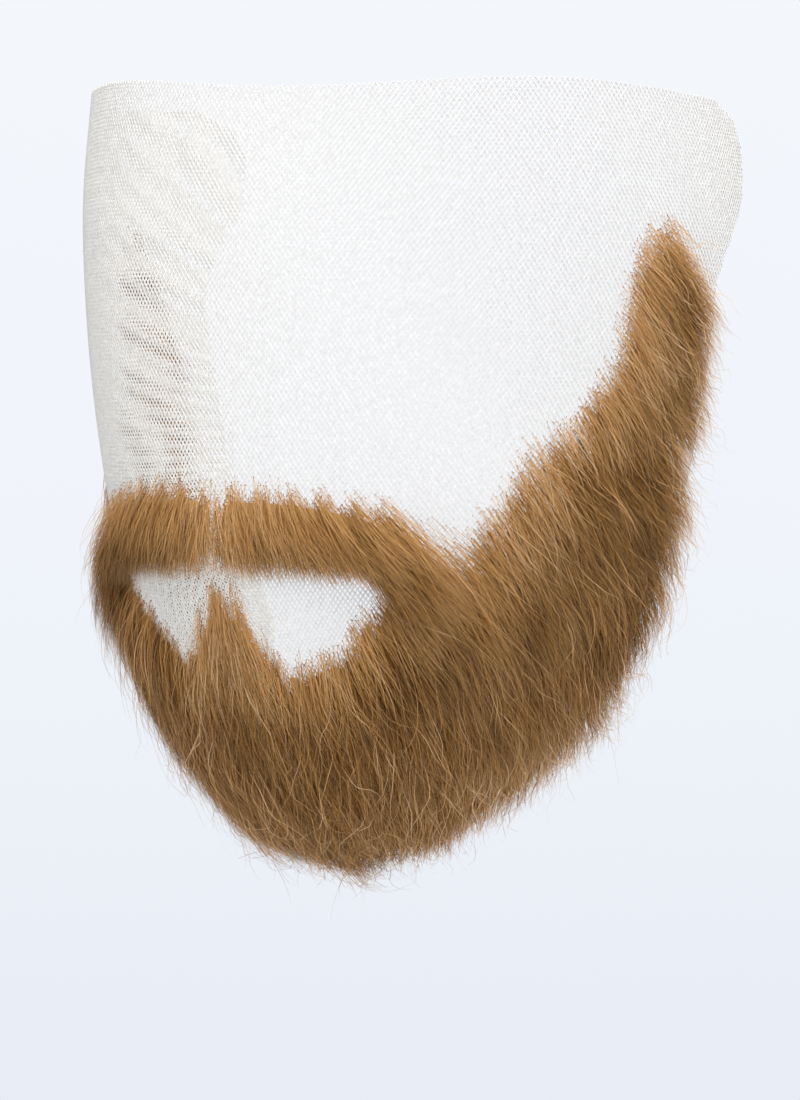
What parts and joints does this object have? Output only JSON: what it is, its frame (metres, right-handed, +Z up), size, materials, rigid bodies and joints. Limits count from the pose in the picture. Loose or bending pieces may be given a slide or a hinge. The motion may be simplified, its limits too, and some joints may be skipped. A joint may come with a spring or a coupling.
{
  "type": "fake beard",
  "caption": "Full false beard with moustache, soul patch, chin, cheeks and sideburns, knotted on one uncut sheet of fine lace net that wraps the face.",
  "frame": {"origin": "the inner face of the lace at the front of the chin, where the beard seats on the wearer's chin", "axes": "+Z up the face, -Y forward out of the face, +X to the wearer's left"},
  "size_m": [0.158, 0.1356, 0.1859],
  "materials": {
    "lace_net": "fine hexagonal net, sheer, off white, matt",
    "beard_hair": "golden brown hair, satin, in loose strands",
    "moustache_hair": "golden brown hair, satin, short strands",
    "sideburn_hair": "light golden brown hair, satin, short strands"
  },
  "bodies": {
    "root": {"lace_foundation": "lace_net", "moustache_left": "moustache_hair", "moustache_right": "moustache_hair", "soul_patch": "beard_hair", "chin_beard": "beard_hair", "cheek_left": "beard_hair", "cheek_right": "beard_hair", "sideburn_left": "sideburn_hair", "sideburn_right": "sideburn_hair"}
  },
  "joints": []
}
